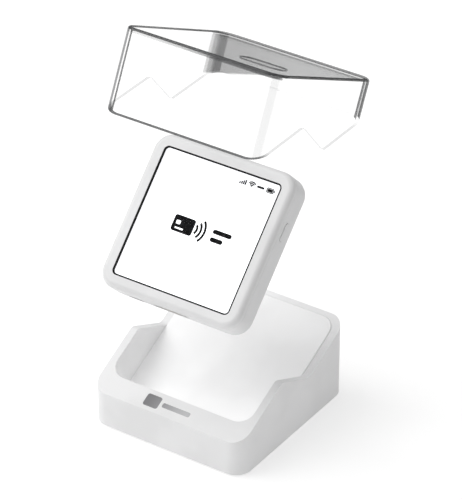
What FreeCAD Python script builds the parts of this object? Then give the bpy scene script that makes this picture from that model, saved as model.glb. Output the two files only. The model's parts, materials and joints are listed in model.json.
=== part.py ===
"""Card payment terminal, its charging dock and its clear dust cover, in millimetres.

Row frame: X to the right, Y towards the back, Z up, origin under the centre of the dock.
Three assemblies are drawn in frames of their own and then placed:
  dock      in the row frame itself,
  terminal  x to the right, y up along the face, z out of the face, origin at the face's centre,
  cover     as it stands on the dock.
The terminal and the cover rest lifted off: each is swung from its seat about a line parallel to X.
"""
import FreeCAD, Part
import math
import os

import Sketcher
from FreeCAD import Placement, Rotation, Vector

SIZES = {
    # dock
    "dock_width": 93.0,
    "dock_depth": 98.0,
    "dock_corner": 9.0,
    "dock_wall": 2.4,
    "front_height": 20.5,
    "rim_angle": 26.0,
    "crest_y": -12.0,
    "notch_y": 13.5,
    "notch_height": 27.0,
    "crest_round": 4.0,
    "front_rim": 12.0,
    "pocket_depth": 20.9,
    "pocket_corner": 8.5,
    "seat_length": 83.6,
    "seat_thickness": 1.6,
    "seat_gap": 0.3,
    "seat_clearance": 0.03,
    "seat_round": 0.5,
    "ledge_width": 3.5,
    "ledge_thickness": 1.4,
    "shell_lift": 0.8,
    "base_lift": 1.2,
    "base_thickness": 1.8,
    "foot_width": 80.0,
    "foot_depth": 76.0,
    "foot_corner": 6.0,
    "dock_boss_radius": 3.4,
    "dock_boss_height": 14.0,
    "dock_screw_radius": 1.0,
    "dock_screw_length": 10.0,
    "dock_boss_x": 33.0,
    "dock_boss_y": 43.6,
    "weight_width": 62.0,
    "weight_depth": 30.0,
    "weight_height": 4.0,
    "dock_usb_height": 9.0,
    "usb_width": 9.0,
    "usb_height": 3.2,
    "usb_depth": 7.4,
    "usb_gap": 0.3,
    "usb_sink": 0.8,
    "usb_shell": 0.3,
    "badge_mark": 7.0,
    "badge_bar": 16.8,
    "badge_gap": 1.8,
    "badge_slack": 0.1,
    "badge_x": -11.4,
    "badge_thickness": 0.3,
    "contact_block_width": 18.4,
    "contact_block_height": 4.4,
    "pin_radius": 0.75,
    "pin_slack": 0.05,
    "pin_barrel_radius": 1.05,
    "pin_reach": 1.0,
    # terminal
    "terminal_width": 84.0,
    "terminal_thickness": 18.5,
    "terminal_corner": 9.5,
    "terminal_wall": 1.8,
    "frame_depth": 3.6,
    "lip_height": 1.6,
    "seam_gap": 0.15,
    "front_round": 3.0,
    "rear_round": 5.0,
    "glass_width": 69.2,
    "glass_thickness": 1.1,
    "glass_corner": 2.0,
    "gasket_width": 0.8,
    "seal_sink": 0.1,
    "screen_stack": 69.6,
    "display_gap": 0.1,
    "slot_width": 57.0,
    "slot_height": 2.4,
    "slot_level": 12.2,
    "contact_pitch": 4.0,
    "contact_level": 9.0,
    "button_length": 9.6,
    "button_height": 3.2,
    "button_y": 14.0,
    "button_level": 8.0,
    "button_proud": 0.3,
    "button_travel": 0.4,
    "running_gap": 0.2,
    "terminal_clearance": 0.5,
    "terminal_recess": 2.4,
    "terminal_screw_x": 33.5,
    "terminal_screw_radius": 1.0,
    "speaker_x": -31.5,
    "speaker_y": -14.2,
    "board_level": 8.8,
    "board_thickness": 1.0,
    "usb_x": -22.0,
    "strip_width": 20.0,
    "strip_height": 4.0,
    "strip_recess": 0.6,
    # cover
    "cover_wall": 1.8,
    "cover_top": 64.5,
    "cover_gap": 0.3,
    "cover_edge": 1.6,
    "grip_length": 26.0,
    "grip_width": 13.0,
    "grip_depth": 0.8,
    "grip_x": 22.0,
    "grip_y": -24.0,
    # how far each piece is swung off its seat, and the line it swings about
    "terminal_swing": 20.0,
    "terminal_pivot_y": -224.0,
    "terminal_pivot_z": 20.5,
    "cover_swing": 46.0,
    "cover_pivot_y": 78.0,
    "cover_pivot_z": -4.0,
}

doc = FreeCAD.newDocument("payment_terminal")
sheet = doc.addObject("Spreadsheet::Sheet", "Sizes")
for row, (alias, number) in enumerate(SIZES.items(), start=1):
    sheet.set(f"A{row}", alias)
    sheet.set(f"B{row}", str(number))
    sheet.setAlias(f"B{row}", alias)
doc.recompute()


class Size:
    """A length with both its number and the sheet expression that gives it."""

    def __init__(self, number, text):
        self.number = float(number)
        self.text = text

    def _join(self, other, sign, number, swapped=False):
        text = other.text if isinstance(other, Size) else repr(float(other))
        pair = (text, self.text) if swapped else (self.text, text)
        return Size(number, f"({pair[0]} {sign} {pair[1]})")

    def __add__(self, other):
        return self._join(other, "+", self.number + plain(other))

    __radd__ = __add__

    def __sub__(self, other):
        return self._join(other, "-", self.number - plain(other))

    def __rsub__(self, other):
        return self._join(other, "-", plain(other) - self.number, swapped=True)

    def __mul__(self, other):
        return self._join(other, "*", self.number * plain(other))

    __rmul__ = __mul__

    def __truediv__(self, other):
        return self._join(other, "/", self.number / plain(other))

    def __neg__(self):
        return Size(-self.number, f"(0 - {self.text})")


def plain(value):
    """The number in a Size, or the number itself."""
    return value.number if isinstance(value, Size) else float(value)


def mm(number):
    """A fixed length that no cell drives."""
    return Size(float(number), f"({number})")


def size(alias):
    """The Size that a cell of the sheet holds."""
    return Size(SIZES[alias], f"Sizes.{alias}")


def trig(name, angle):
    """sin, cos or tan of an angle in degrees that the sheet holds."""
    value = getattr(math, name)(math.radians(angle.number))
    return Size(value, f"{name}({angle.text})")


def drive(thing, field, value):
    """Binds a property or a constraint to its expression, where the value has one."""
    if isinstance(value, Size):
        thing.setExpression(field, value.text)


PLACES = {"dock": Placement(), "terminal": Placement(), "cover": Placement()}
nodes = []


def keep(thing, label, group):
    """Names a finished sub-part and puts it where its assembly rests."""
    thing.Label = label
    thing.Placement = PLACES[group].multiply(thing.Placement)
    nodes.append(thing)
    return thing


# ---------------------------------------------------------------- sketches and features

def new_body(name):
    """A PartDesign body of its own for one sub-part."""
    return doc.addObject("PartDesign::Body", name)


def new_sketch(body, role="XY_Plane", offset=0.0, tilt=None, shift=(0.0, 0.0)):
    """A sketch on one of the body's origin planes, lifted by offset and tilted about its x axis."""
    sketch = body.newObject("Sketcher::SketchObject", "Sketch")
    plane = [p for p in body.Origin.OriginFeatures if p.Role == role][0]
    sketch.AttachmentSupport = [(plane, "")]
    sketch.MapMode = "FlatFace"
    turn = Rotation(Vector(1, 0, 0), plain(tilt) if tilt is not None else 0.0)
    base = Vector(plain(shift[0]), plain(shift[1]), plain(offset))
    sketch.AttachmentOffset = Placement(base, turn)
    drive(sketch, "AttachmentOffset.Base.x", shift[0])
    drive(sketch, "AttachmentOffset.Base.y", shift[1])
    drive(sketch, "AttachmentOffset.Base.z", offset)
    if tilt is not None:
        drive(sketch, "AttachmentOffset.Rotation.Angle", tilt)
    return sketch


def constrain(sketch, kind, *args):
    """Adds one constraint; a Size at the end gives its value and its expression."""
    value = args[-1]
    if isinstance(value, Size):
        index = sketch.addConstraint(Sketcher.Constraint(kind, *args[:-1], value.number))
        sketch.setExpression(f"Constraints[{index}]", value.text)
        return index
    return sketch.addConstraint(Sketcher.Constraint(kind, *args))


def outline(sketch, points):
    """A closed outline of straight lines through points, each held from the sketch's origin."""
    flat = [Vector(plain(x), plain(y), 0) for x, y in points]
    first = sketch.GeometryCount
    count = len(flat)
    for i in range(count):
        sketch.addGeometry(Part.LineSegment(flat[i], flat[(i + 1) % count]), False)
    for i in range(count):
        constrain(sketch, "Coincident", first + i, 2, first + (i + 1) % count, 1)
    for i, (x, y) in enumerate(points):
        constrain(sketch, "DistanceX", -1, 1, first + i, 1, x if isinstance(x, Size) else float(x))
        constrain(sketch, "DistanceY", -1, 1, first + i, 1, y if isinstance(y, Size) else float(y))


def rounded(sketch, width, height, corner, x=0.0, y=0.0):
    """A rectangle of width by height about (x, y), with round corners."""
    half_w, half_h, r = plain(width) / 2, plain(height) / 2, plain(corner)
    mid_x, mid_y = plain(x), plain(y)
    first = sketch.GeometryCount
    turns = [(1, -1, -90), (1, 1, 0), (-1, 1, 90), (-1, -1, 180)]
    starts = [(-1, -1, 1, 0), (1, -1, 0, 1), (1, 1, -1, 0), (-1, 1, 0, -1)]
    for (sx, sy, dx, dy), (cx, cy, start) in zip(starts, turns):
        a = Vector(mid_x + sx * half_w + dx * r, mid_y + sy * half_h + dy * r, 0)
        length_x = 2 * (half_w - r) * dx
        length_y = 2 * (half_h - r) * dy
        sketch.addGeometry(Part.LineSegment(a, a + Vector(length_x, length_y, 0)), False)
        centre = Vector(mid_x + cx * (half_w - r), mid_y + cy * (half_h - r), 0)
        circle = Part.Circle(centre, Vector(0, 0, 1), r)
        low = math.radians(start)
        sketch.addGeometry(Part.ArcOfCircle(circle, low, low + math.pi / 2), False)
    for i in range(8):
        constrain(sketch, "Tangent", first + i, 2, first + (i + 1) % 8, 1)
    constrain(sketch, "Horizontal", first)
    constrain(sketch, "Vertical", first + 2)
    constrain(sketch, "Horizontal", first + 4)
    constrain(sketch, "Vertical", first + 6)
    for i in (3, 5, 7):
        constrain(sketch, "Equal", first + 1, first + i)
    constrain(sketch, "Radius", first + 1, corner)
    constrain(sketch, "DistanceX", first + 6, 1, first + 2, 1, width)
    constrain(sketch, "DistanceY", first, 1, first + 4, 1, height)
    constrain(sketch, "DistanceX", -1, 1, first + 7, 3, x - width / 2 + corner)
    constrain(sketch, "DistanceY", -1, 1, first + 7, 3, y - height / 2 + corner)


def ring_sketch(body, outer, inner, corner, offset=0.0):
    """A square ring sketch between two widths."""
    sketch = new_sketch(body, offset=offset)
    rounded(sketch, outer, outer, corner)
    rounded(sketch, inner, inner, corner - (outer - inner) / 2)
    return sketch


def circles(sketch, centres, radius):
    """One circle about each of the centres."""
    for x, y in centres:
        place = Vector(plain(x), plain(y), 0)
        index = sketch.addGeometry(Part.Circle(place, Vector(0, 0, 1), plain(radius)), False)
        constrain(sketch, "Radius", index, radius)
        constrain(sketch, "DistanceX", -1, 1, index, 3, x)
        constrain(sketch, "DistanceY", -1, 1, index, 3, y)


def pad(body, sketch, length, both_ways=False, backwards=False):
    """Adds material from a sketch; both_ways centres it on the sketch."""
    feature = body.newObject("PartDesign::Pad", "Pad")
    feature.Profile = sketch
    feature.Length = plain(length)
    drive(feature, "Length", length)
    feature.Reversed = backwards
    if both_ways:
        feature.SideType = "Symmetric"
    doc.recompute()
    return feature


def cut(body, sketch, length, both_ways=False, backwards=False):
    """Takes material away from a sketch, and stops if nothing was taken."""
    before = body.Tip.Shape.Volume
    feature = body.newObject("PartDesign::Pocket", "Pocket")
    feature.Profile = sketch
    feature.Length = plain(length)
    drive(feature, "Length", length)
    feature.Reversed = backwards
    if both_ways:
        feature.SideType = "Symmetric"
    doc.recompute()
    if not feature.Shape.Volume < before - 1e-6:
        raise RuntimeError(f"{body.Name}: {feature.Name} cuts nothing")
    return feature


def soften(body, radius, chosen, kind="Fillet"):
    """Rounds, or chamfers, the edges of the body that chosen picks."""
    base = body.Tip
    names = [f"Edge{i}" for i, edge in enumerate(base.Shape.Edges, start=1) if chosen(edge)]
    if not names:
        raise RuntimeError(f"{body.Name}: no edge to round")
    feature = body.newObject(f"PartDesign::{kind}", kind)
    feature.Base = (base, names)
    field = "Radius" if kind == "Fillet" else "Size"
    setattr(feature, field, plain(radius))
    drive(feature, field, radius)
    doc.recompute()
    return feature


def lies_at(level):
    """Picks edges that lie whole at one height."""
    return lambda edge: all(abs(v.Z - plain(level)) < 1e-4 for v in edge.Vertexes)


def plate(label, group, width, height, corner, top, bottom, x=0.0, y=0.0):
    """A flat sub-part with round corners between two levels."""
    body = new_body(label)
    sketch = new_sketch(body, offset=bottom)
    rounded(sketch, width, height, corner, x, y)
    pad(body, sketch, top - bottom)
    return keep(body, label, group)


def block(width, height, depth, x, y, z):
    """A Part box about (x, y, z)."""
    box = doc.addObject("Part::Box", "Box")
    for field, value in (("Length", width), ("Width", height), ("Height", depth)):
        setattr(box, field, plain(value))
        drive(box, field, value)
    corner = (x - width / 2, y - height / 2, z - depth / 2)
    box.Placement.Base = Vector(*[plain(c) for c in corner])
    for axis, value in zip("xyz", corner):
        drive(box, f"Placement.Base.{axis}", value)
    return box


def rod(radius, length, base, direction=(0, 0, 1)):
    """A Part cylinder from base along direction."""
    cylinder = doc.addObject("Part::Cylinder", "Cylinder")
    cylinder.Radius = plain(radius)
    drive(cylinder, "Radius", radius)
    cylinder.Height = plain(length)
    drive(cylinder, "Height", length)
    turn = Rotation(Vector(0, 0, 1), Vector(*direction))
    cylinder.Placement = Placement(Vector(*[plain(b) for b in base]), turn)
    for axis, value in zip("xyz", base):
        drive(cylinder, f"Placement.Base.{axis}", value)
    return cylinder


def fuse(*shapes):
    """Joins solids that touch into one."""
    union = doc.addObject("Part::MultiFuse", "Fuse")
    union.Shapes = list(shapes)
    return union


def without(base, *tools):
    """Cuts the tools from the base."""
    for tool in tools:
        result = doc.addObject("Part::Cut", "Cut")
        result.Base = base
        result.Tool = tool
        base = result
    return base


def group_of(label, group, solids):
    """Several separate solids of one kind, kept as one sub-part."""
    compound = doc.addObject("Part::Compound", label)
    compound.Links = list(solids)
    doc.recompute()
    return keep(compound, label, group)


# ---------------------------------------------------------------- places of the assemblies

half_width = size("dock_width") / 2
half_depth = size("dock_depth") / 2
rim_angle = size("rim_angle")
slope = trig("tan", rim_angle)
slope_cos = trig("cos", rim_angle)
slope_sin = trig("sin", rim_angle)
terminal_half = size("terminal_width") / 2


def on_slope(along, depth):
    """The (y, z) of a point that far up the front rim's slope and that deep below it."""
    y = along * slope_cos + depth * slope_sin - half_depth
    z = size("front_height") + along * slope_sin - depth * slope_cos
    return y, z


def swing(degrees, pivot_y, pivot_z):
    """A turn about a line parallel to X."""
    pivot = Vector(0, pivot_y, pivot_z)
    return Placement(Vector(), Rotation(Vector(1, 0, 0), degrees), pivot)


seated_along = size("front_rim") + size("terminal_clearance") + terminal_half
face_y, face_z = on_slope(seated_along, size("terminal_recess"))
seated = Placement(Vector(0, plain(face_y), plain(face_z)), Rotation(Vector(1, 0, 0), plain(rim_angle)))
terminal_lift = swing(SIZES["terminal_swing"], SIZES["terminal_pivot_y"], SIZES["terminal_pivot_z"])
cover_lift = swing(-SIZES["cover_swing"], SIZES["cover_pivot_y"], SIZES["cover_pivot_z"])
PLACES["terminal"] = terminal_lift.multiply(seated)
PLACES["cover"] = terminal_lift.multiply(cover_lift)


# ---------------------------------------------------------------- dock

def side_profile(lift, roof=None):
    """The zigzag line of the rim, front to back: up the slope, down to the notch, up to the back."""
    front = size("front_height") + lift
    crest = front + (size("crest_y") + half_depth) * slope
    notch = size("notch_height") + lift
    back = notch + (half_depth - size("notch_y")) * slope
    line = [(-half_depth, front), (size("crest_y"), crest), (size("notch_y"), notch), (half_depth, back)]
    level = roof if roof is not None else mm(0)
    return line + [(half_depth, level), (-half_depth, level)]


def upright_edges(side, end):
    """Picks the upright edges at the corners (side, end) on both sides and both ends."""

    def chosen(edge):
        ends = edge.Vertexes
        if len(ends) != 2 or abs(ends[0].Z - ends[1].Z) < 1:
            return False
        at_side = all(abs(abs(v.X) - plain(side)) < 1e-4 for v in ends)
        return at_side and all(abs(abs(v.Y) - plain(end)) < 1e-4 for v in ends)

    return chosen


def across_at(points):
    """Picks edges that run along X through one of the (y, z) points."""
    places = [(plain(y), plain(z)) for y, z in points]

    def chosen(edge):
        ends = edge.Vertexes
        if len(ends) != 2 or abs(ends[0].X - ends[1].X) < 1:
            return False
        return any(all(math.hypot(v.Y - y, v.Z - z) < 1e-3 for v in ends) for y, z in places)

    return chosen


NOTHING = mm(0)
# how far a cutting sketch stands off the wall that it cuts
OVERSHOOT = 1.0
# a flat oval's corner radius is its height divided by this, just short of a half circle
OVAL = 2.1
SCREW_SLACK = 0.15
SCREW_HEAD = 2.1
HEAD_SINK = 0.1


def four_corners(x, y):
    """The four points at plus and minus x and y."""
    return [(sx * x, sy * y) for sx in (-1, 1) for sy in (-1, 1)]


contact_y, contact_z = on_slope(size("front_rim"), size("terminal_recess") + size("contact_level"))
PLACES["contacts"] = Placement(
    Vector(0, plain(contact_y), plain(contact_z)), Rotation(Vector(1, 0, 0), plain(rim_angle) - 90.0)
)
pocket_width = size("terminal_width") + size("terminal_clearance") * 2
seat_under = size("pocket_depth") + size("seat_thickness")
seat_middle = size("front_rim") + size("seat_length") / 2
dock_screws_at = four_corners(size("dock_boss_x"), size("dock_boss_y"))


def badge_outlines(sketch, slack):
    """A small card shape and a short bar beside it, along the front rim."""
    tall = size("badge_mark") + slack
    wide = size("badge_mark") * 1.25
    rounded(sketch, wide + slack, tall, tall / 6, x=size("badge_x"))
    bar_x = size("badge_x") + wide / 2 + size("badge_gap") + size("badge_bar") / 2
    rounded(sketch, size("badge_bar") + slack, tall / 2.6, tall / 8, x=bar_x)


def rim_sketch(body):
    """A sketch on the middle of the sloping front rim."""
    y, z = on_slope(size("front_rim") / 2, NOTHING)
    return new_sketch(body, offset=z, tilt=rim_angle, shift=(0.0, y))


def dock_housing():
    """The outer shell: zigzag side walls, a wide front rim and a deep sloping pocket."""
    body = new_body("dock_housing")
    profile = side_profile(NOTHING, size("shell_lift"))
    sketch = new_sketch(body, "YZ_Plane")
    outline(sketch, profile)
    pad(body, sketch, size("dock_width"), both_ways=True)

    wall = size("dock_wall")
    inner = half_depth - wall
    ledge_under = seat_under + size("ledge_thickness")
    wall_foot = on_slope(size("front_rim") - wall, ledge_under)
    wall_head = on_slope(size("front_rim") - wall, wall)
    end_along = (inner + half_depth - ledge_under * slope_sin) / slope_cos
    back_head = on_slope(end_along, ledge_under)
    front_head = (-inner, size("front_height") - wall / slope_cos + wall * slope)
    sketch = new_sketch(body, "YZ_Plane")
    outline(sketch, [(-inner, 0.0), front_head, wall_head, wall_foot, back_head, (inner, 0.0)])
    cut(body, sketch, size("dock_width") - wall * 2, both_ways=True)
    soften(body, size("dock_corner") - wall, upright_edges(half_width - wall, inner))
    soften(body, size("crest_round"), across_at(profile[1:3]))
    soften(body, size("dock_corner"), upright_edges(half_width, half_depth))

    mid_y, mid_z = on_slope(seat_middle, seat_under)
    sketch = new_sketch(body, offset=mid_z, tilt=rim_angle, shift=(0.0, mid_y))
    rounded(sketch, pocket_width, size("seat_length"), size("pocket_corner"))
    cut(body, sketch, size("dock_depth"), backwards=True)
    ledge = size("ledge_width")
    opening = (pocket_width - ledge * 2, size("seat_length") - ledge * 2)
    sketch = new_sketch(body, offset=mid_z, tilt=rim_angle, shift=(0.0, mid_y))
    rounded(sketch, *opening, size("pocket_corner") - ledge)
    cut(body, sketch, size("ledge_thickness") + OVERSHOOT)

    sketch = new_sketch(body, offset=size("base_lift") + size("base_thickness"))
    circles(sketch, dock_screws_at, size("dock_boss_radius"))
    pad(body, sketch, size("dock_boss_height"))
    sketch = new_sketch(body, offset=size("base_lift"))
    circles(sketch, dock_screws_at, size("dock_screw_radius"))
    cut(body, sketch, size("dock_screw_length") + OVERSHOOT * 2, backwards=True)

    sketch = new_sketch(body, "XZ_Plane", offset=-half_depth - OVERSHOOT)
    socket_width = size("usb_width") + size("usb_gap") * 2
    socket_height = size("usb_height") + size("usb_gap") * 2
    rounded(sketch, socket_width, socket_height, socket_height / OVAL, y=size("dock_usb_height"))
    cut(body, sketch, wall + OVERSHOOT * 2, backwards=True)
    sketch = new_sketch(body, offset=contact_z, tilt=rim_angle - 90.0, shift=(0.0, contact_y))
    rounded(sketch, size("contact_block_width"), size("contact_block_height"), size("usb_gap"))
    cut(body, sketch, wall + OVERSHOOT * 3, both_ways=True)
    sketch = rim_sketch(body)
    badge_outlines(sketch, size("badge_slack"))
    cut(body, sketch, size("badge_thickness"))
    return keep(body, "dock_housing", "dock")


def dock_seat():
    """The sloping floor of the pocket, a plate that stands a little proud of the low back rim."""
    body = new_body("dock_seat")
    y, z = on_slope(seat_middle, seat_under)
    sketch = new_sketch(body, offset=z, tilt=rim_angle, shift=(0.0, y))
    gap = size("seat_gap")
    across, along = pocket_width - gap * 2, size("seat_length") - gap * 2
    rounded(sketch, across, along, size("pocket_corner") - gap)
    top = pad(body, sketch, size("seat_thickness") - size("seat_clearance")).Shape
    face = max(top.Faces, key=lambda f: f.CenterOfMass.z)
    tops = [e.CenterOfMass for e in face.Edges]

    def on_top(edge):
        return any(edge.CenterOfMass.isEqual(point, 1e-4) for point in tops)

    soften(body, size("seat_round"), on_top)
    return keep(body, "dock_seat", "dock")


def screw(radius, head_height, length, base):
    """A screw that points up, with a flat round head and a round driver recess."""
    x, y, z = base
    head = rod(radius * SCREW_HEAD, head_height, base)
    shank = rod(radius, length, (x, y, z + head_height))
    recess = rod(radius * 0.8, head_height / 2, base)
    return without(fuse(head, shank), recess)


def dock_base():
    """The base plate with its screw holes, and two posts that carry the socket board."""
    body = new_body("dock_base_plate")
    slack = size("dock_wall") * 2 + size("seat_gap") * 2
    corner = size("dock_corner") - slack / 2
    sketch = new_sketch(body, offset=size("base_lift"))
    rounded(sketch, size("dock_width") - slack, size("dock_depth") - slack, corner)
    pad(body, sketch, size("base_thickness"))
    sketch = new_sketch(body, offset=size("base_lift") + size("base_thickness"))
    circles(sketch, [(mm(-10), mm(30)), (mm(10), mm(30))], mm(1.8))
    board_under = size("dock_usb_height") - size("usb_height") / 2 - size("board_thickness")
    pad(body, sketch, board_under - size("base_lift") - size("base_thickness"))
    radius, sunk = size("dock_screw_radius"), 1.1
    for hole, depth in ((radius + SCREW_SLACK, 5.0), (radius * SCREW_HEAD + SCREW_SLACK, sunk)):
        sketch = new_sketch(body, offset=size("base_lift"))
        circles(sketch, dock_screws_at, hole)
        cut(body, sketch, depth, backwards=True)
    keep(body, "dock_base_plate", "dock")
    head_z = size("base_lift") + HEAD_SINK
    length = size("dock_screw_length")
    screws = [screw(radius, sunk - HEAD_SINK, length, (x, y, head_z)) for x, y in dock_screws_at]
    group_of("dock_screws", "dock", screws)
    wide, deep, corner = size("foot_width"), size("foot_depth"), size("foot_corner")
    plate("dock_foot_pad", "dock", wide, deep, corner, size("base_lift"), NOTHING)


def dock_inside():
    """The steel weight, the socket board and the socket at the back."""
    floor = size("base_lift") + size("base_thickness")
    corner = mm(3)
    weight_top = floor + size("weight_height")
    wide, deep = size("weight_width"), size("weight_depth")
    plate("dock_weight", "dock", wide, deep, corner, weight_top, floor, y=mm(5))
    board_top = size("dock_usb_height") - size("usb_height") / 2
    board_under = board_top - size("board_thickness")
    board_y = half_depth - size("dock_wall") - 11.0
    plate("dock_board", "dock", mm(30), mm(20), mm(1.5), board_top, board_under, y=board_y)
    mouth_y = half_depth - size("usb_sink")
    usb_socket("dock_usb_socket", "dock", NOTHING, mouth_y, size("dock_usb_height"))


def usb_socket(label, group, x, mouth_y, z, backwards=False):
    """A USB-C socket: a flat oval tube, closed at its inner end, with a tongue inside."""
    body = new_body(label)
    width, height, depth = size("usb_width"), size("usb_height"), size("usb_depth")
    closed_end = 0.8
    sketch = new_sketch(body, "XZ_Plane", offset=-mouth_y)
    rounded(sketch, width, height, height / OVAL, x=x, y=z)
    pad(body, sketch, depth, backwards=backwards)
    inner_width, inner_height = width - size("usb_shell") * 2, height - size("usb_shell") * 2
    sketch = new_sketch(body, "XZ_Plane", offset=-mouth_y)
    rounded(sketch, inner_width, inner_height, inner_height / OVAL, x=x, y=z)
    cut(body, sketch, depth - closed_end, backwards=not backwards)
    inwards = depth - closed_end / 2
    tongue_root = mouth_y + inwards if backwards else mouth_y - inwards
    sketch = new_sketch(body, "XZ_Plane", offset=-tongue_root)
    rounded(sketch, width * 0.7, mm(0.7), mm(0.2), x=x, y=z)
    pad(body, sketch, inwards - closed_end, backwards=not backwards)
    return keep(body, label, group)


def dock_contacts():
    """The sprung contacts in the pocket's front wall: block, barrels and pins."""
    through = size("dock_wall") + 3.0
    slack = 0.4
    sunk = 0.1
    width = size("contact_block_width") - slack
    height = size("contact_block_height") - slack
    front = block(width, height, through, NOTHING, NOTHING, through * -0.5 - sunk)
    flange_z = size("dock_wall") * -1.0 - 0.9
    flange = block(width + 3.0, height + 3.0, 1.6, NOTHING, NOTHING, flange_z)
    pin_tail = 4.0
    places = [size("contact_pitch") * (i - 1.5) for i in range(4)]
    holes = []
    barrels = []
    pins = []
    for x in places:
        holes.append(rod(size("pin_barrel_radius"), 12.0, (x, NOTHING, mm(-9))))
        tube = rod(size("pin_barrel_radius"), 6.4, (x, NOTHING, mm(-6.5)))
        bore = rod(size("pin_radius") + size("pin_slack"), 6.4, (x, NOTHING, mm(-6.1)))
        barrels.append(without(tube, bore))
        straight = size("pin_reach") - size("pin_radius") + pin_tail
        stem = rod(size("pin_radius"), straight, (x, NOTHING, mm(-pin_tail)))
        tip = doc.addObject("Part::Sphere", "Tip")
        tip.Radius = plain(size("pin_radius"))
        drive(tip, "Radius", size("pin_radius"))
        tip.Placement.Base = Vector(plain(x), 0, plain(straight) - pin_tail)
        drive(tip, "Placement.Base.x", x)
        drive(tip, "Placement.Base.z", straight - pin_tail)
        pins.append(fuse(stem, tip))
    keep(without(fuse(front, flange), *holes), "dock_contact_block", "contacts")
    group_of("dock_pin_barrels", "contacts", barrels)
    group_of("dock_pins", "contacts", pins)


def dock_badge():
    """A small inlaid mark on the front rim: a card shape and a bar."""
    body = new_body("dock_badge")
    sketch = rim_sketch(body)
    badge_outlines(sketch, NOTHING)
    pad(body, sketch, size("badge_thickness"), backwards=True)
    return keep(body, "dock_badge", "dock")


# ---------------------------------------------------------------- terminal

seam = size("frame_depth") + size("seam_gap")
thickness = size("terminal_thickness")
wall = size("terminal_wall")
window = size("glass_width") + size("gasket_width") * 2
window_corner = size("glass_corner") + size("gasket_width")
terminal_screws_at = four_corners(size("terminal_screw_x"), size("terminal_screw_x"))


def terminal_casing():
    """The front frame round the screen and the deep rear shell."""
    full, corner = size("terminal_width"), size("terminal_corner")
    body = new_body("front_frame")
    sketch = new_sketch(body, offset=-size("frame_depth"))
    rounded(sketch, full, full, corner)
    pad(body, sketch, size("frame_depth"))
    soften(body, size("front_round"), lies_at(0.0))
    slack, skirt = 0.4, 3.0
    lip = full - wall * 2 - slack
    lip_corner = corner - wall - slack / 2
    sketch = new_sketch(body, offset=-size("frame_depth"))
    rounded(sketch, lip, lip, lip_corner)
    pad(body, sketch, size("lip_height"), backwards=True)
    sketch = new_sketch(body, offset=-size("frame_depth"))
    rounded(sketch, lip - skirt, lip - skirt, lip_corner - skirt / 2)
    cut(body, sketch, size("lip_height") + OVERSHOOT)
    sketch = new_sketch(body, offset=OVERSHOOT)
    rounded(sketch, window, window, window_corner)
    cut(body, sketch, size("frame_depth") + size("lip_height") + OVERSHOOT * 2)
    keep(body, "front_frame", "terminal")

    body = new_body("rear_shell")
    sketch = new_sketch(body, offset=-thickness)
    rounded(sketch, full, full, corner)
    pad(body, sketch, thickness - seam)
    soften(body, size("rear_round"), lies_at(-thickness))
    inner = full - wall * 2
    sketch = new_sketch(body, offset=-seam)
    rounded(sketch, inner, inner, corner - wall)
    cut(body, sketch, thickness - seam - wall)
    soften(body, size("rear_round") - wall, lies_at(wall - thickness))
    sketch = new_sketch(body, offset=wall - thickness)
    circles(sketch, terminal_screws_at, mm(2.4))
    pad(body, sketch, 1.0)
    radius = size("terminal_screw_radius")
    for hole, depth in ((radius + SCREW_SLACK, 5.0), (radius * SCREW_HEAD + SCREW_SLACK / 2, 1.0)):
        sketch = new_sketch(body, offset=-thickness)
        circles(sketch, terminal_screws_at, hole)
        cut(body, sketch, depth, backwards=True)
    through = wall + OVERSHOOT * 1.5
    slot = size("slot_height")
    sketch = new_sketch(body, "XZ_Plane", offset=-terminal_half - OVERSHOOT)
    rounded(sketch, size("slot_width"), slot, slot / OVAL, y=-size("slot_level"))
    cut(body, sketch, through, backwards=True)
    sketch = new_sketch(body, "XZ_Plane", offset=terminal_half + OVERSHOOT)
    gap = size("usb_gap")
    usb_z = -size("board_level") - size("board_thickness") - size("usb_height") / 2
    wide, tall = size("usb_width") + gap * 2, size("usb_height") + gap * 2
    rounded(sketch, wide, tall, tall / OVAL, x=size("usb_x"), y=usb_z)
    wide, tall = size("strip_width") + gap, size("strip_height") + gap
    rounded(sketch, wide, tall, gap, y=-size("contact_level"))
    cut(body, sketch, through)
    sketch = new_sketch(body, "YZ_Plane", offset=terminal_half + OVERSHOOT)
    gap = size("running_gap")
    wide, tall = size("button_length") + gap * 2, size("button_height") + gap * 2
    rounded(sketch, wide, tall, tall / OVAL, x=size("button_y"), y=-size("button_level"))
    cut(body, sketch, through)
    sketch = new_sketch(body, offset=-thickness)
    slit_pitch = 2.4
    for i in range(5):
        slit_y = size("speaker_y") + (i - 2) * slit_pitch
        rounded(sketch, mm(8), mm(1), mm(0.45), x=size("speaker_x"), y=slit_y)
    cut(body, sketch, wall + OVERSHOOT, backwards=True)
    keep(body, "rear_shell", "terminal")


def screen():
    """The window, its dark seal, the touch film, the display and its backlight."""
    glass = size("glass_width")
    level = size("glass_thickness")
    plate("window_glass", "terminal", glass, glass, size("glass_corner"), NOTHING, -level)
    air = size("display_gap")
    body = new_body("window_seal")
    ring = ring_sketch(body, window, glass, window_corner, offset=-level)
    pad(body, ring, level - size("seal_sink"))
    keep(body, "window_seal", "terminal")
    stack = size("screen_stack")
    corner = mm(1.6)
    film = 0.2
    plate("touch_film", "terminal", glass, glass, corner, -level, -level - film)
    level = level + film + air
    for label, thick in (("display_panel", 1.3), ("backlight", 1.4)):
        plate(label, "terminal", stack, stack, corner, -level, -level - thick)
        level = level + thick


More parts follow.
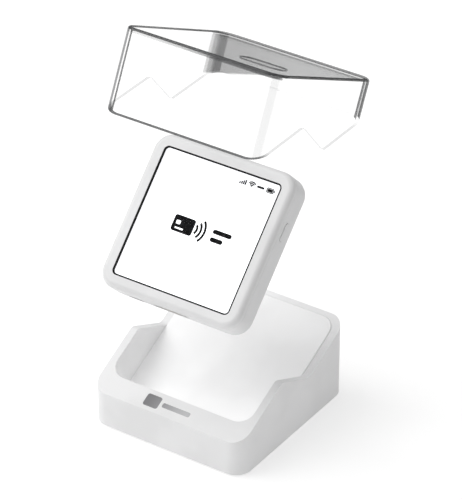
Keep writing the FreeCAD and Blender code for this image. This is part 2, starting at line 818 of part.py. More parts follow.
def chassis():
    """The plastic inner frame that carries the screen, with four screw posts."""
    body = new_body("chassis")
    width = size("terminal_width") - wall * 2 - 4.0
    under, post = -5.3, 10.3
    sketch = new_sketch(body, offset=under)
    rounded(sketch, width, width, mm(5.6))
    pad(body, sketch, 1.0)
    sketch = new_sketch(body, offset=under)
    circles(sketch, terminal_screws_at, mm(2.6))
    pad(body, sketch, post, backwards=True)
    sketch = new_sketch(body, offset=under - post - OVERSHOOT)
    circles(sketch, terminal_screws_at, size("terminal_screw_radius"))
    cut(body, sketch, post - OVERSHOOT, backwards=True)
    keep(body, "chassis", "terminal")
    radius, head_z = size("terminal_screw_radius"), HEAD_SINK - thickness
    screws = [screw(radius, 0.9, mm(8.8), (x, y, head_z)) for x, y in terminal_screws_at]
    group_of("rear_screws", "terminal", screws)


# width, height and thickness of each chip, and its place on the board
CHIPS = [
    (12.0, 12.0, 1.1, -14.0, 12.0),
    (10.0, 8.0, 1.0, -14.0, -4.0),
    (7.0, 7.0, 0.9, 6.0, 18.0),
    (14.0, 4.0, 1.6, -12.0, 28.0),
    (5.0, 5.0, 0.9, 20.0, 22.0),
    (4.0, 9.0, 1.4, -24.0, -20.0),
]


def electronics():
    """The main board and what it carries, the battery, the aerials and the speaker."""
    top = -size("board_level")
    under = top - size("board_thickness")
    body = new_body("main_board")
    sketch = new_sketch(body, offset=under)
    rounded(sketch, mm(60), mm(72), mm(2))
    pad(body, sketch, size("board_thickness"))
    sketch = new_sketch(body, offset=under)
    rounded(sketch, mm(10), mm(10), mm(1), x=33.0, y=size("button_y"))
    pad(body, sketch, size("board_thickness"))
    keep(body, "main_board", "terminal")
    chips = []
    for width, height, thick, x, y in CHIPS:
        chips.append(block(mm(width), height, thick, x, y, top + thick / 2))
    group_of("board_chips", "terminal", chips)
    body = new_body("shield_can")
    sketch = new_sketch(body, offset=top)
    can_x, can_y, sheet_metal = 12.0, -14.0, 0.3
    rounded(sketch, mm(26), mm(22), mm(1.5), x=can_x, y=can_y)
    pad(body, sketch, 2.2)
    sketch = new_sketch(body, offset=top)
    rounded(sketch, mm(25.4), mm(21.4), mm(1.2), x=can_x, y=can_y)
    cut(body, sketch, 2.2 - sheet_metal, backwards=True)
    keep(body, "shield_can", "terminal")
    plate("battery", "terminal", mm(52), mm(28), mm(2), under - 0.3, under - 6.5, y=-17.0)
    floor = wall - thickness
    place = {"x": size("speaker_x"), "y": size("speaker_y")}
    plate("speaker", "terminal", mm(10), mm(16), mm(2), floor + 3.3, floor + 0.2, **place)
    body = new_body("contactless_aerial")
    coil = ring_sketch(body, mm(64), mm(52), mm(9), offset=-5.6)
    pad(body, coil, 0.3)
    keep(body, "contactless_aerial", "terminal")
    strip = block(mm(0.3), 40.0, 6.0, -39.6, 2.0, -10.0)
    keep(strip, "mobile_aerial", "terminal")
    usb_z = under - size("usb_height") / 2
    mouth_y = size("usb_sink") - terminal_half
    usb_socket("terminal_usb_socket", "terminal", size("usb_x"), mouth_y, usb_z, backwards=True)


def card_reader():
    """The chip card reader behind the slot in the upper edge, with its eight contacts."""
    body = new_body("card_reader")
    level = -size("slot_level")
    sketch = new_sketch(body, offset=level - 2.2)
    rounded(sketch, mm(61), mm(36), mm(1.5), y=22.0)
    pad(body, sketch, 4.4)
    sketch = new_sketch(body, "XZ_Plane", offset=-41.0)
    rounded(sketch, size("slot_width") - 2.0, mm(1.6), mm(0.3), y=level)
    cut(body, sketch, 34.0, backwards=True)
    keep(body, "card_reader", "terminal")
    contacts = []
    for i in range(8):
        x = (i % 4 - 1.5) * 2.54
        y = 14.0 + (i // 4) * 7.6
        contacts.append(block(mm(1.2), 3.4, 0.35, x, y, level + 0.8 - 0.175))
    group_of("card_contacts", "terminal", contacts)


def power_button():
    """The side button with its flange inside the shell, and the switch behind it."""
    body = new_body("power_button")
    inner = terminal_half - wall
    y, z = size("button_y"), -size("button_level")
    sketch = new_sketch(body, "YZ_Plane", offset=inner - 1.1)
    length, height = size("button_length"), size("button_height")
    rounded(sketch, length + 1.6, height + 1.6, (height + 1.6) / OVAL, x=y, y=z)
    pad(body, sketch, 1.0)
    sketch = new_sketch(body, "YZ_Plane", offset=inner - 0.1)
    rounded(sketch, length, height, height / OVAL, x=y, y=z)
    pad(body, sketch, wall + 0.1 + size("button_proud"))
    outer = plain(terminal_half + size("button_proud"))

    def on_face(edge):
        return all(abs(v.X - outer) < 1e-4 for v in edge.Vertexes)

    soften(body, size("button_proud"), on_face)
    keep(body, "power_button", "terminal")
    reach = inner - 1.1 - size("button_travel") - 0.1
    case_z = -size("board_level") + 1.7
    case = block(mm(3), 5.0, 3.2, reach - 2.2, y, case_z)
    stem = block(mm(0.7), 2.0, 1.4, reach - 0.35, y, z)
    keep(fuse(case, stem), "button_switch", "terminal")


def edge_contacts():
    """The charging pads in the lower edge, sunk in their insulator."""
    face = size("strip_recess") - terminal_half
    z = -size("contact_level")
    inner = terminal_half - wall
    tall, front_depth, flange_depth, pad_depth = size("strip_height"), 2.2, 1.2, 0.3
    front = block(size("strip_width"), mm(front_depth), tall, NOTHING, face + front_depth / 2, z)
    flange_y = 0.1 + flange_depth / 2 - inner
    flange = block(size("strip_width") + 3.0, mm(flange_depth), tall + 2.0, NOTHING, flange_y, z)
    pads = []
    for i in range(4):
        x = size("contact_pitch") * (i - 1.5)
        pads.append(block(mm(2.6), pad_depth, 2.8, x, face + pad_depth / 2, z))
    group_of("charging_pads", "terminal", pads)
    keep(without(fuse(front, flange), *pads), "contact_strip", "terminal")


# ---------------------------------------------------------------- cover

def clear_cover():
    """The clear lid: its lower edge follows the dock's rim, and a finger grip is sunk in its top."""
    body = new_body("clear_cover")
    top = size("cover_top")
    profile = side_profile(size("cover_gap"), top)
    sketch = new_sketch(body, "YZ_Plane")
    outline(sketch, profile)
    pad(body, sketch, size("dock_width"), both_ways=True)
    soften(body, size("crest_round"), across_at(profile[1:3]))
    soften(body, size("dock_corner"), upright_edges(half_width, half_depth))
    soften(body, size("cover_edge"), lies_at(top))
    skin = size("cover_wall")
    sketch = new_sketch(body)
    inner_width, inner_depth = size("dock_width") - skin * 2, size("dock_depth") - skin * 2
    rounded(sketch, inner_width, inner_depth, size("dock_corner") - skin)
    cut(body, sketch, top - skin, backwards=True)
    sketch = new_sketch(body, offset=top)
    grip = size("grip_width")
    rounded(sketch, size("grip_length"), grip, grip / OVAL, x=size("grip_x"), y=size("grip_y"))
    cut(body, sketch, size("grip_depth"))
    return keep(body, "clear_cover", "cover")


for build in (
    dock_housing,
    dock_seat,
    dock_base,
    dock_inside,
    dock_contacts,
    dock_badge,
    terminal_casing,
    screen,
    chassis,
    electronics,
    card_reader,
    power_button,
    edge_contacts,
    clear_cover,
):
    build()
doc.recompute()

faults = [f"{o.Name}: {o.State}" for o in doc.Objects if "Invalid" in o.State or "Error" in o.State]
for thing in nodes:
    if thing.Shape.isNull() or not thing.Shape.isValid():
        faults.append(f"{thing.Label}: its shape is not valid")
if faults:
    raise RuntimeError("; ".join(faults))

os.makedirs("parts", exist_ok=True)
for thing in nodes:
    thing.Shape.exportStep(os.path.join("parts", thing.Label + ".step"))
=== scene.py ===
"""A square card terminal held above its charging dock, with a clear cover above both.

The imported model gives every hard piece. This script adds the pictures on the display, the
materials, the floor, the lights and the camera.
"""
import json
import math

import bmesh
import bpy
from mathutils import Matrix, Vector


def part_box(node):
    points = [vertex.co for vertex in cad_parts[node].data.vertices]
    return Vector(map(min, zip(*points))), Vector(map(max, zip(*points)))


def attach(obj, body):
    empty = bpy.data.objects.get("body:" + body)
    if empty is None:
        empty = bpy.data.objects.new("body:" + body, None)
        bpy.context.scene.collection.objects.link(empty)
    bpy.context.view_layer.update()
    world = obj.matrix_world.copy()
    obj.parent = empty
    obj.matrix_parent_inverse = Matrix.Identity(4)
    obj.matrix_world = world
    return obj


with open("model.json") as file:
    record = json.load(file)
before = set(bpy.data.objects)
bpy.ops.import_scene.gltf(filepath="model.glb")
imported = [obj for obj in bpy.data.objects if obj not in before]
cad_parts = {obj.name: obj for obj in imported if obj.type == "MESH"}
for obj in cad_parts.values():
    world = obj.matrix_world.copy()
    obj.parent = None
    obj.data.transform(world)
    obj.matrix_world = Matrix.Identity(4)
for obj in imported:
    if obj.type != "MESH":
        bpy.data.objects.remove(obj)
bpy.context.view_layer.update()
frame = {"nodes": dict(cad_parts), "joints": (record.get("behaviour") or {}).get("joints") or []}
nodes = frame["nodes"]
MM = 0.001


# ---------------------------------------------------------------- places

def joint_motion(name, degrees):
    """The matrix of a hinge's turn from rest, in the row's frame."""
    joint = [j for j in frame["joints"] if j["name"] == name][0]
    pivot = Matrix.Translation(Vector(joint["pos_m"]))
    turn = Matrix.Rotation(math.radians(degrees), 4, Vector(joint["axis"]))
    return pivot @ turn @ pivot.inverted()


def lowest(name):
    """The lower limit of a hinge, in degrees."""
    return [j for j in frame["joints"] if j["name"] == name][0]["range_deg"][0]


RIM_ANGLE = 26.0
TERMINAL_PITCH = math.radians(RIM_ANGLE - lowest("terminal_lift"))
SEATED_TERMINAL = joint_motion("terminal_lift", lowest("terminal_lift"))
CLOSED_COVER = SEATED_TERMINAL @ joint_motion("cover_lift", lowest("cover_lift"))
COVER_TURN = CLOSED_COVER.to_euler().x
GLASS_HALF = 0.55 * MM


def box_centre(node):
    """The middle of a node's box."""
    low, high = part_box(node)
    return (Vector(low) + Vector(high)) / 2


FACE_TURN = Matrix.Rotation(TERMINAL_PITCH, 4, "X")
FACE_CENTRE = box_centre("window_glass") + FACE_TURN @ Vector((0, 0, GLASS_HALF))
FACE = Matrix.Translation(FACE_CENTRE) @ FACE_TURN


# ---------------------------------------------------------------- node graphs

class Graph:
    """A material's node tree, with short calls for the nodes used here."""

    def __init__(self, name):
        self.material = bpy.data.materials.new(name)
        self.material.use_nodes = True
        self.tree = self.material.node_tree
        self.tree.nodes.clear()
        self.shader = self.tree.nodes.new("ShaderNodeBsdfPrincipled")
        out = self.tree.nodes.new("ShaderNodeOutputMaterial")
        self.tree.links.new(self.shader.outputs["BSDF"], out.inputs["Surface"])
        self.coords = self.tree.nodes.new("ShaderNodeTexCoord")

    def light_up(self, strength):
        """Gives the surface a white light of its own."""
        self.shader.inputs["Emission Color"].default_value = (1.0, 1.0, 1.0, 1.0)
        self.feed(self.shader.inputs["Emission Strength"], strength)

    def feed(self, socket, value):
        """Links a node's output to a socket, or sets a plain value."""
        if isinstance(value, bpy.types.NodeSocket):
            self.tree.links.new(value, socket)
        else:
            socket.default_value = value

    def math(self, operation, first, second=0.0):
        """One arithmetic step."""
        node = self.tree.nodes.new("ShaderNodeMath")
        node.operation = operation
        self.feed(node.inputs[0], first)
        self.feed(node.inputs[1], second)
        return node.outputs[0]

    def product(self, *values):
        """All the values multiplied together."""
        result = values[0]
        for value in values[1:]:
            result = self.math("MULTIPLY", result, value)
        return result

    def span(self, value, low, high, to_low=0.0, to_high=1.0):
        """Maps a value from one range to another, smoothly, without leaving the second."""
        node = self.tree.nodes.new("ShaderNodeMapRange")
        node.interpolation_type = "SMOOTHSTEP"
        for socket, number in zip(node.inputs[1:5], (low, high, to_low, to_high)):
            socket.default_value = number
        self.feed(node.inputs[0], value)
        return node.outputs[0]

    def noise(self, scale, detail=3.0, stretch=None):
        """Noise fixed to the piece, longer along the axes with a small stretch."""
        node = self.tree.nodes.new("ShaderNodeTexNoise")
        node.inputs["Scale"].default_value = scale
        node.inputs["Detail"].default_value = detail
        source = self.coords.outputs["Object"]
        if stretch:
            mapping = self.tree.nodes.new("ShaderNodeMapping")
            mapping.inputs["Scale"].default_value = stretch
            self.tree.links.new(source, mapping.inputs["Vector"])
            source = mapping.outputs["Vector"]
        self.tree.links.new(source, node.inputs["Vector"])
        return node.outputs["Fac"]

    def blend(self, fac, first, second):
        """A colour between two others."""
        node = self.tree.nodes.new("ShaderNodeMix")
        node.data_type = "RGBA"
        self.feed(node.inputs[0], fac)
        self.feed(node.inputs[6], first)
        self.feed(node.inputs[7], second)
        return node.outputs[2]

    def bump(self, height, strength, distance):
        """Tiny hills in the surface's shading."""
        node = self.tree.nodes.new("ShaderNodeBump")
        node.inputs["Strength"].default_value = strength
        node.inputs["Distance"].default_value = distance
        self.tree.links.new(height, node.inputs["Height"])
        self.tree.links.new(node.outputs["Normal"], self.shader.inputs["Normal"])

    def split(self, vector):
        """A vector's three components."""
        node = self.tree.nodes.new("ShaderNodeSeparateXYZ")
        self.tree.links.new(vector, node.inputs[0])
        return node.outputs[0], node.outputs[1], node.outputs[2]

    def placed(self, source, matrix_turn, shift=(0.0, 0.0, 0.0)):
        """A vector turned about X and shifted."""
        mapping = self.tree.nodes.new("ShaderNodeMapping")
        mapping.inputs["Rotation"].default_value = (matrix_turn, 0.0, 0.0)
        mapping.inputs["Location"].default_value = shift
        self.tree.links.new(source, mapping.inputs["Vector"])
        return mapping.outputs["Vector"]


DRIFT_SCALE = 35.0


def shade(colour, factor):
    """A colour made lighter or darker."""
    return tuple(min(1.0, c * factor) for c in colour[:3]) + (1.0,)


def moulded(name, colour, roughness=0.45, grain=1800.0, depth=0.02, change=0.03, metallic=0.0,
            stretch=None):
    """A surface with a fine grain, a faint drift of colour and an uneven gloss."""
    g = Graph(name)
    drift = g.span(g.noise(DRIFT_SCALE, 2.0), 0.35, 0.65)
    tone = g.blend(drift, shade(colour, 1.0 - change), shade(colour, 1.0 + change))
    g.feed(g.shader.inputs["Base Color"], tone)
    fine = g.noise(grain, 2.0, stretch)
    gloss = g.span(fine, 0.3, 0.7, roughness * 0.9, min(1.0, roughness * 1.1))
    g.feed(g.shader.inputs["Roughness"], gloss)
    g.shader.inputs["Metallic"].default_value = metallic
    g.bump(fine, depth, 0.0002)
    return g


def brushed(name, colour, roughness=0.3):
    """Metal with fine lines along X."""
    return moulded(name, colour, roughness, 2500.0, 0.05, 0.06, 1.0, (0.05, 1.0, 1.0))


def circuit_board(name):
    """Green resist with paler tracks under it."""
    g = Graph(name)
    tracks = g.tree.nodes.new("ShaderNodeTexBrick")
    tracks.inputs["Scale"].default_value = 300.0
    g.tree.links.new(g.coords.outputs["Object"], tracks.inputs["Vector"])
    resist = g.blend(g.noise(60.0), (0.012, 0.11, 0.05, 1.0), (0.02, 0.16, 0.07, 1.0))
    tone = g.blend(tracks.outputs["Fac"], resist, (0.05, 0.24, 0.12, 1.0))
    g.feed(g.shader.inputs["Base Color"], tone)
    g.shader.inputs["Roughness"].default_value = 0.35
    g.bump(tracks.outputs["Fac"], 0.1, 0.0001)
    return g


PIXEL = 0.22 * MM


def lit_panel(name):
    """A white lit display with a faint pixel grid and softer light towards its edges."""
    g = Graph(name)
    x, _, z = g.split(g.coords.outputs["Object"])
    centre = box_centre("display_panel")
    up = math.sin(TERMINAL_PITCH)
    across = g.math("ABSOLUTE", x)
    along = g.math("ABSOLUTE", g.math("DIVIDE", g.math("SUBTRACT", z, centre.z), up))
    reach = g.math("MAXIMUM", across, along)
    edge = g.span(reach, 26.0 * MM, 35.0 * MM, 1.0, 0.93)
    columns = g.math("PINGPONG", x, PIXEL / 2)
    dots = g.span(columns, 0.0, 0.04 * MM, 0.985, 1.0)
    level = g.math("MULTIPLY", edge, dots)
    tone = g.blend(level, (0.55, 0.56, 0.58, 1.0), (0.97, 0.98, 1.0, 1.0))
    g.feed(g.shader.inputs["Base Color"], tone)
    g.feed(g.shader.inputs["Emission Color"], tone)
    g.shader.inputs["Emission Strength"].default_value = 0.95
    g.shader.inputs["Roughness"].default_value = 0.5
    return g


def thin_clear(name, opacity, roughness):
    """A clear sheet: almost nothing from the front, a little more at a low angle."""
    g = Graph(name)
    facing = g.tree.nodes.new("ShaderNodeLayerWeight")
    facing.inputs["Blend"].default_value = 0.3
    smear = g.span(g.noise(90.0), 0.4, 0.7, 0.0, opacity * 0.15)
    alpha = g.math("ADD", g.span(facing.outputs["Facing"], 0.5, 1.0, opacity, opacity * 8), smear)
    g.feed(g.shader.inputs["Alpha"], alpha)
    g.shader.inputs["Base Color"].default_value = (0.3, 0.31, 0.32, 1.0)
    gloss = g.span(g.noise(400.0), 0.3, 0.7, roughness, roughness * 1.5)
    g.feed(g.shader.inputs["Roughness"], gloss)
    return g


# The closed cover, in its own frame: its top is level and its walls are upright.
COVER_TOP = 64.5 * MM
COVER_HALF = 46.0 * MM
REAR_LINE_LEVEL = 53.3 * MM
REAR_LINE_RISE = (COVER_TOP - REAR_LINE_LEVEL) / COVER_HALF


class CoverPlace:
    """Where a point of the cover is and which way its surface faces, both in the closed frame.

    The masks paint shade into the cover and are fixed to it; they read nothing from the camera.
    Which edges are strong or faint, and the lower line of the rear wall's painted shade, were
    chosen for the main camera's angle all the same, so from behind they only roughly look like clear
    plastic.
    """

    def __init__(self, g):
        self.g = g
        spot = g.placed(g.coords.outputs["Object"], COVER_TURN, CLOSED_COVER.translation)
        self.x, self.y, self.z = g.split(spot)
        facing = g.placed(g.coords.outputs["Normal"], COVER_TURN)
        self.normal_x, self.normal_y, normal_z = g.split(facing)
        self.level = g.math("ABSOLUTE", normal_z)
        self.upright = g.span(self.level, 0.4, 0.6, 1.0, 0.0)

    def top_edge(self):
        """The rounding between the top and the walls."""
        g = self.g
        bend = g.product(g.span(self.level, 0.05, 0.2), g.span(self.level, 0.85, 0.99, 1.0, 0.0))
        return g.product(bend, g.span(self.z, COVER_TOP - 2.0 * MM, COVER_TOP - 1.8 * MM))

    def grip(self):
        """The upright wall of the finger grip."""
        g = self.g
        inside_x = g.span(g.math("ABSOLUTE", self.x), 43.5 * MM, 44.0 * MM, 1.0, 0.0)
        inside_y = g.span(g.math("ABSOLUTE", self.y), 45.5 * MM, 46.0 * MM, 1.0, 0.0)
        high = g.span(self.z, COVER_TOP - 1.2 * MM, COVER_TOP - 1.0 * MM)
        return g.product(inside_x, inside_y, self.upright, high)

    def front_strip(self):
        """A line under the front top edge, stronger towards the right."""
        g = self.g
        low_end = g.span(self.z, COVER_TOP - 3.0 * MM, COVER_TOP - 2.4 * MM)
        high_end = g.span(self.z, COVER_TOP - 1.4 * MM, COVER_TOP - 1.2 * MM, 1.0, 0.0)
        front = g.span(self.y, -45.0 * MM, -43.0 * MM, 1.0, 0.0)
        rightward = g.span(self.x, -40.0 * MM, 44.0 * MM, 0.3, 1.4)
        return g.product(self.upright, low_end, high_end, front, rightward)

    def rim(self):
        """The lower edge, strong in front and faint at the back."""
        g = self.g
        edge = g.product(g.span(self.level, 0.5, 0.7), g.span(self.z, 50.0 * MM, 52.0 * MM, 1.0, 0.0))
        past_front = g.span(self.y, -46.0 * MM, -38.0 * MM, 1.0, 0.3)
        past_sides = g.span(self.y, 38.0 * MM, 44.0 * MM, 1.0, 0.3)
        return g.product(edge, past_front, past_sides)

    def rear_painted_shade(self):
        """Painted grey shade on the rear wall, above the line where the right top edge crosses it for
        the main camera.
        """
        g = self.g
        line = g.math("ADD", g.product(self.x, REAR_LINE_RISE), REAR_LINE_LEVEL)
        above = g.span(g.math("SUBTRACT", self.z, line), -1.0 * MM, 0.4 * MM)
        rear = g.span(self.y, 38.5 * MM, 40.5 * MM)
        leftward = g.span(self.x, -44.0 * MM, 10.0 * MM, 1.0, 0.85)
        return g.product(rear, above, leftward)

    def corner_lines(self):
        """The upright roundings, faint at the near right and the far left."""
        g = self.g
        slant = g.math("ABSOLUTE", g.product(self.normal_x, self.normal_y))
        lines = g.product(g.span(slant, 0.38, 0.46), g.span(self.x, 0.0, 10.0 * MM, 0.9, 1.0))
        near_right = g.product(g.span(self.x, 0.0, 10.0 * MM), g.span(self.y, -10.0 * MM, 0.0, 1.0, 0.0))
        far_left = g.product(g.span(self.x, -10.0 * MM, 0.0, 1.0, 0.0), g.span(self.y, 0.0, 10.0 * MM))
        for faint, loss in ((near_right, 0.9), (far_left, 0.75)):
            lines = g.product(lines, g.math("SUBTRACT", 1.0, g.product(faint, loss)))
        return lines


def clear_plastic(name):
    """Polished clear plastic, with painted shade: dark lines painted into its colour and opacity where
    its edges are seen through their own depth.
    """
    g = Graph(name)
    place = CoverPlace(g)
    top_edge = place.top_edge()
    facing = g.tree.nodes.new("ShaderNodeLayerWeight")
    facing.inputs["Blend"].default_value = 0.5
    low_angle = g.span(facing.outputs["Facing"], 0.85, 1.0)
    alpha = g.span(g.noise(60.0), 0.4, 0.7, 0.002, 0.006)
    # Each mask adds painted shade to the opacity: dark lines along the edges and a grey patch on the
    # rear wall.
    for mask, share in (
        (top_edge, 0.95),
        (place.grip(), 0.8),
        (place.front_strip(), 0.45),
        (place.rim(), 0.92),
        (place.rear_painted_shade(), 0.4),
        (place.corner_lines(), 0.95),
        (low_angle, 0.35),
    ):
        alpha = g.math("ADD", alpha, g.product(mask, share))
    g.feed(g.shader.inputs["Alpha"], g.math("MINIMUM", alpha, 0.95))
    # The dark colour is painted shade, darkest along the top edge.
    painted_edge_shade = g.blend(top_edge, (0.09, 0.092, 0.095, 1.0), (0.02, 0.021, 0.023, 1.0))
    g.feed(g.shader.inputs["Base Color"], painted_edge_shade)
    g.shader.inputs["Roughness"].default_value = 0.08
    g.shader.inputs["Specular IOR Level"].default_value = 0.3
    return g


def silver_inlay(name):
    """Silver print that goes from dark to pale along the rim."""
    g = Graph(name)
    low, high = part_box("dock_badge")
    x = g.split(g.coords.outputs["Object"])[0]
    tone = g.blend(g.span(x, low[0], high[0]), (0.12, 0.12, 0.125, 1.0), (0.42, 0.42, 0.43, 1.0))
    g.feed(g.shader.inputs["Base Color"], tone)
    g.shader.inputs["Metallic"].default_value = 0.3
    fine = g.noise(1500.0)
    g.feed(g.shader.inputs["Roughness"], g.span(fine, 0.3, 0.7, 0.3, 0.4))
    g.bump(fine, 0.03, 0.0001)
    return g


def pocket_glow(look, strength):
    """Gives the walls that face the middle a faint light, in place of light bounced between them."""
    x, y, _ = look.split(look.coords.outputs["Object"])
    normal_x, normal_y, _ = look.split(look.coords.outputs["Normal"])
    outward = look.math("ADD", look.product(x, normal_x), look.product(y, normal_y))
    look.light_up(look.span(outward, -30.0 * MM, -10.0 * MM, strength, 0.0))


WHITE = (0.82, 0.82, 0.823)
BY_NODE = {
    "dock_housing": moulded("dock_white", WHITE, 0.5),
    # The seat's white is lighter than the housing's: painted light against the shade under the terminal
    # and the cover.
    "dock_seat": moulded("seat_white_painted_light", (0.92, 0.92, 0.922), 0.42),
    "front_frame": moulded("frame_white", (0.77, 0.77, 0.773), 0.38),
    "rear_shell": moulded("shell_white", (0.74, 0.74, 0.744), 0.45),
    "power_button": moulded("button_white", (0.72, 0.72, 0.724), 0.4),
    "dock_base_plate": moulded("base_grey", (0.42, 0.42, 0.43), 0.6, 1200.0, 0.08),
    "dock_foot_pad": moulded("foot_rubber", (0.09, 0.09, 0.092), 0.85, 700.0, 0.3, 0.1),
    "dock_contact_block": moulded("block_black", (0.03, 0.03, 0.032), 0.5),
    "window_seal": moulded("seal_black", (0.008, 0.008, 0.009), 0.6),
    "chassis": moulded("chassis_black", (0.03, 0.03, 0.033), 0.6),
    "board_chips": moulded("chip_black", (0.02, 0.02, 0.022), 0.5, 900.0),
    "speaker": moulded("speaker_black", (0.025, 0.025, 0.027), 0.7, 600.0, 0.3),
    "card_reader": moulded("reader_black", (0.02, 0.02, 0.021), 0.55),
    "button_switch": moulded("switch_black", (0.04, 0.04, 0.042), 0.5),
    "contact_strip": moulded("strip_black", (0.03, 0.03, 0.032), 0.5),
    "battery": moulded("battery_wrap", (0.05, 0.055, 0.07), 0.35, 200.0, 0.1, 0.1),
    "backlight": moulded("diffuser_white", (0.85, 0.85, 0.85), 0.6),
    "dock_screws": brushed("screw_steel", (0.55, 0.55, 0.57)),
    "rear_screws": brushed("small_screw_steel", (0.5, 0.5, 0.52)),
    "dock_weight": brushed("weight_steel", (0.4, 0.4, 0.42), 0.45),
    "dock_usb_socket": brushed("socket_steel", (0.6, 0.6, 0.62)),
    "terminal_usb_socket": brushed("small_socket_steel", (0.6, 0.6, 0.62)),
    "shield_can": brushed("shield_steel", (0.62, 0.62, 0.64), 0.35),
    "dock_pins": brushed("pin_gold", (0.85, 0.62, 0.25), 0.25),
    "dock_pin_barrels": brushed("barrel_gold", (0.7, 0.5, 0.2), 0.35),
    "card_contacts": brushed("contact_gold", (0.85, 0.62, 0.25), 0.3),
    "charging_pads": brushed("pad_gold", (0.9, 0.68, 0.3), 0.25),
    "contactless_aerial": brushed("aerial_copper", (0.75, 0.36, 0.2), 0.35),
    "mobile_aerial": brushed("strip_copper", (0.7, 0.36, 0.22), 0.4),
    "dock_board": circuit_board("dock_board_green"),
    "main_board": circuit_board("main_board_green"),
    "display_panel": lit_panel("display_white"),
    "window_glass": thin_clear("window_clear", 0.008, 0.06),
    "touch_film": thin_clear("film_clear", 0.004, 0.2),
    "clear_cover": clear_plastic("cover_clear"),
    "dock_badge": silver_inlay("badge_silver"),
}
BY_NODE["window_seal"].shader.inputs["Specular IOR Level"].default_value = 0.05
pocket_glow(BY_NODE["dock_housing"], 0.15)
# Painted light: the seat glows faintly in place of light bounced into the pocket.
BY_NODE["dock_seat"].light_up(0.06)
for node_name, graph in BY_NODE.items():
    slots = nodes[node_name].data.materials
    slots.clear()
    slots.append(graph.material)


# ---------------------------------------------------------------- pictures on the display

PRINT_TOP = -1.34 * MM
PRINT_UNDER = -1.39 * MM
INK = moulded("ink_black", (0.004, 0.004, 0.005), 0.6, 1500.0, 0.02, 0.1)
INK.shader.inputs["Specular IOR Level"].default_value = 0.05


def rounded_outline(width, height, corner, steps=8):
    """Points round a rectangle with round corners, anticlockwise, in millimetres."""
    points = []
    for sx, sy, start in ((1, -1, -90), (1, 1, 0), (-1, 1, 90), (-1, -1, 180)):
        cx, cy = sx * (width / 2 - corner), sy * (height / 2 - corner)
        for i in range(steps + 1):
            a = math.radians(start + 90.0 * i / steps)
            points.append((cx + corner * math.cos(a), cy + corner * math.sin(a)))
    return points


def arc_band(radius, thickness, low, high, steps=24):
    """Points round an arc-shaped band between two angles in degrees."""
    outer, inner = radius + thickness / 2, radius - thickness / 2
    angles = [math.radians(low + (high - low) * i / steps) for i in range(steps + 1)]
    ring = [(outer * math.cos(a), outer * math.sin(a)) for a in angles]
    return ring + [(inner * math.cos(a), inner * math.sin(a)) for a in reversed(angles)]


def moved(points, dx, dy):
    return [(x + dx, y + dy) for x, y in points]


def add_slab(mesh, outline, holes=()):
    """A flat solid from an outline and the outlines of its holes."""
    loops = [outline] + [list(reversed(hole)) for hole in holes]
    rings = []
    for level in (PRINT_UNDER, PRINT_TOP):
        rings.append([[mesh.verts.new((x * MM, y * MM, level)) for x, y in loop] for loop in loops])
    for lower, upper in zip(*rings):
        count = len(lower)
        for i in range(count):
            j = (i + 1) % count
            mesh.faces.new((lower[i], lower[j], upper[j], upper[i]))
    for ring in rings:
        edges = []
        for loop in ring:
            for i, vertex in enumerate(loop):
                edges.append(mesh.edges.get((vertex, loop[(i + 1) % len(loop)])))
        bmesh.ops.triangle_fill(mesh, use_beauty=True, edges=edges)


def printed(name, slabs):
    """One picture on the display, made of flat solids."""
    mesh = bmesh.new()
    for slab in slabs:
        add_slab(mesh, *slab)
    bmesh.ops.recalc_face_normals(mesh, faces=mesh.faces)
    data = bpy.data.meshes.new(name)
    mesh.to_mesh(data)
    mesh.free()
    data.transform(FACE)
    data.materials.append(INK.material)
    piece = bpy.data.objects.new(name, data)
    bpy.context.scene.collection.objects.link(piece)
    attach(piece, "terminal")
    return piece


# The status row, left to right, and its height above the middle of the display, in millimetres.
STATUS_LEVEL = 30.6
STATUS_BASE = STATUS_LEVEL - 1.3
SIGNAL_X, WAVES_X, BAR_X, BATTERY_X = 11.6, 18.4, 23.6, 29.2
SIGNAL_STEP = 1.05

signal = []
for i in range(4):
    tall = 1.0 + 0.55 * i
    bar = rounded_outline(0.75, tall, 0.12, 2)
    signal.append((moved(bar, SIGNAL_X + i * SIGNAL_STEP, STATUS_BASE + tall / 2),))
printed("signal_bars", signal)

waves = [(moved(arc_band(r, 0.62, 42, 138), WAVES_X, STATUS_BASE),) for r in (0.9, 1.75, 2.6)]
waves.append((moved(rounded_outline(0.6, 0.6, 0.28, 4), WAVES_X, STATUS_BASE + 0.2),))
printed("wireless_waves", waves)

level_bar = moved(rounded_outline(4.2, 1.1, 0.5, 4), BAR_X, STATUS_LEVEL)
printed("status_bar", [(level_bar,)])

case_line = moved(rounded_outline(4.2, 2.7, 0.6, 4), BATTERY_X, STATUS_LEVEL)
case_hole = moved(rounded_outline(3.4, 1.9, 0.3, 4), BATTERY_X, STATUS_LEVEL)
charge = moved(rounded_outline(3.1, 1.6, 0.2, 4), BATTERY_X, STATUS_LEVEL)
cap = moved(rounded_outline(0.5, 1.2, 0.15, 3), BATTERY_X + 2.5, STATUS_LEVEL)
printed("battery_level", [(case_line, [case_hole]), (charge,), (cap,)])

# The large picture: a card, the waves at its right and two plain lines.
CARD_X, TAP_X = -8.6, -3.8

card = moved(rounded_outline(12.4, 8.6, 1.3), CARD_X, 0.0)
chip = moved(rounded_outline(2.6, 2.0, 0.4, 4), CARD_X - 3.2, 0.6)
stripe = moved(rounded_outline(5.0, 0.8, 0.3, 4), CARD_X - 1.6, -2.4)
printed("card_picture", [(card, [chip, stripe])])

tap = [(moved(arc_band(r, 1.25, -42, 42), TAP_X, 0.0),) for r in (3.4, 5.7, 8.0)]
printed("tap_waves", tap)

lines = []
for width, middle, height in ((11.0, 14.0, 2.1), (7.4, 12.2, -2.1)):
    lines.append((moved(rounded_outline(width, 2.3, 1.1), middle, height),))
printed("plain_lines", lines)


# ---------------------------------------------------------------- floor, lights and camera

FLOOR_REACH = 6.0
FLOOR_DROP = 0.2 * MM


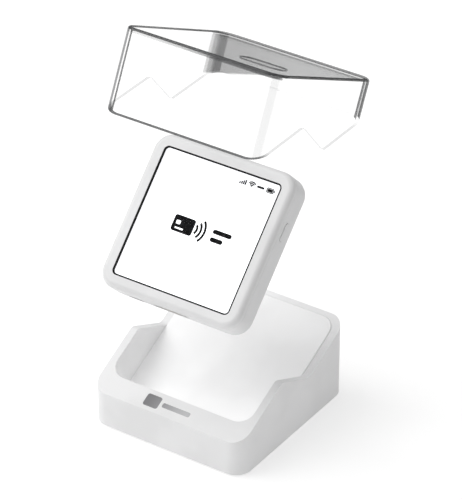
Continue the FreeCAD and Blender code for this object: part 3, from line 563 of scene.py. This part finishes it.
def pale_floor():
    """A wide flat floor, a hair under the foot pad so that the two aren't level."""
    mesh = bmesh.new()
    bmesh.ops.create_grid(mesh, x_segments=1, y_segments=1, size=FLOOR_REACH)
    data = bpy.data.meshes.new("floor")
    mesh.to_mesh(data)
    mesh.free()
    data.transform(Matrix.Translation((0.0, 0.0, -FLOOR_DROP)))
    floor = bpy.data.objects.new("floor", data)
    bpy.context.scene.collection.objects.link(floor)
    look = moulded("floor_white", (0.7, 0.7, 0.7), 0.9, 300.0, 0.01, 0.004)
    look.light_up(0.42)
    data.materials.append(look.material)


def soft_light(name, place, aim, width, watts):
    """A square area light at a place, turned to its aim."""
    lamp = bpy.data.lights.new(name, "AREA")
    lamp.shape = "SQUARE"
    lamp.size = width
    lamp.energy = watts
    holder = bpy.data.objects.new(name, lamp)
    holder.location = place
    holder.rotation_euler = (Vector(aim) - Vector(place)).to_track_quat("-Z", "Y").to_euler()
    bpy.context.scene.collection.objects.link(holder)


def white_room(low, high, right):
    """White light from all round, stronger from overhead and weaker from the right."""
    world = bpy.data.worlds.new("room")
    world.use_nodes = True
    tree = world.node_tree
    background = tree.nodes["Background"]
    background.inputs["Color"].default_value = (1.0, 1.0, 1.0, 1.0)
    coords = tree.nodes.new("ShaderNodeTexCoord")
    parts = tree.nodes.new("ShaderNodeSeparateXYZ")
    tree.links.new(coords.outputs["Generated"], parts.inputs["Vector"])
    both = tree.nodes.new("ShaderNodeMath")
    both.operation = "MULTIPLY"
    for i, (way, start, end, at_start, at_end) in enumerate((
        ("Z", 0.0, 0.9, low, high),
        ("X", 0.1, 0.9, 1.0, right),
    )):
        ramp = tree.nodes.new("ShaderNodeMapRange")
        ramp.interpolation_type = "SMOOTHSTEP"
        for socket, number in zip(ramp.inputs[1:5], (start, end, at_start, at_end)):
            socket.default_value = number
        tree.links.new(parts.outputs[way], ramp.inputs["Value"])
        tree.links.new(ramp.outputs["Result"], both.inputs[i])
    tree.links.new(both.outputs["Value"], background.inputs["Strength"])
    bpy.context.scene.world = world


pale_floor()
white_room(low=0.18, high=0.92, right=0.45)
soft_light("key", (-1.1, -0.6, 1.6), (0.0, 0.0, 0.08), 1.7, 20.0)
bpy.context.scene.view_settings.view_transform = "Standard"

AZIMUTH = math.radians(34.392)
ELEVATION = math.radians(32.108)
ROLL = math.radians(-0.158)
DISTANCE = 1.66607
TARGET = Vector((0.0, 0.0, 0.09621))
back = Vector((
    math.sin(AZIMUTH) * math.cos(ELEVATION),
    -math.cos(AZIMUTH) * math.cos(ELEVATION),
    math.sin(ELEVATION),
))
level_right = Vector((math.cos(AZIMUTH), math.sin(AZIMUTH), 0.0))
level_up = back.cross(level_right)
right = level_right * math.cos(ROLL) + level_up * math.sin(ROLL)
up = level_up * math.cos(ROLL) - level_right * math.sin(ROLL)
camera = bpy.data.objects.new("camera", bpy.data.cameras.new("camera"))
camera.data.lens = 237.44
camera.data.shift_x = 0.024
camera.data.shift_y = -0.003
camera.data.clip_start = 0.05
camera.data.clip_end = 50.0
turn = Matrix((right, up, back)).transposed().to_4x4()
camera.matrix_world = Matrix.Translation(TARGET + back * DISTANCE) @ turn
bpy.context.scene.collection.objects.link(camera)
bpy.context.scene.camera = camera
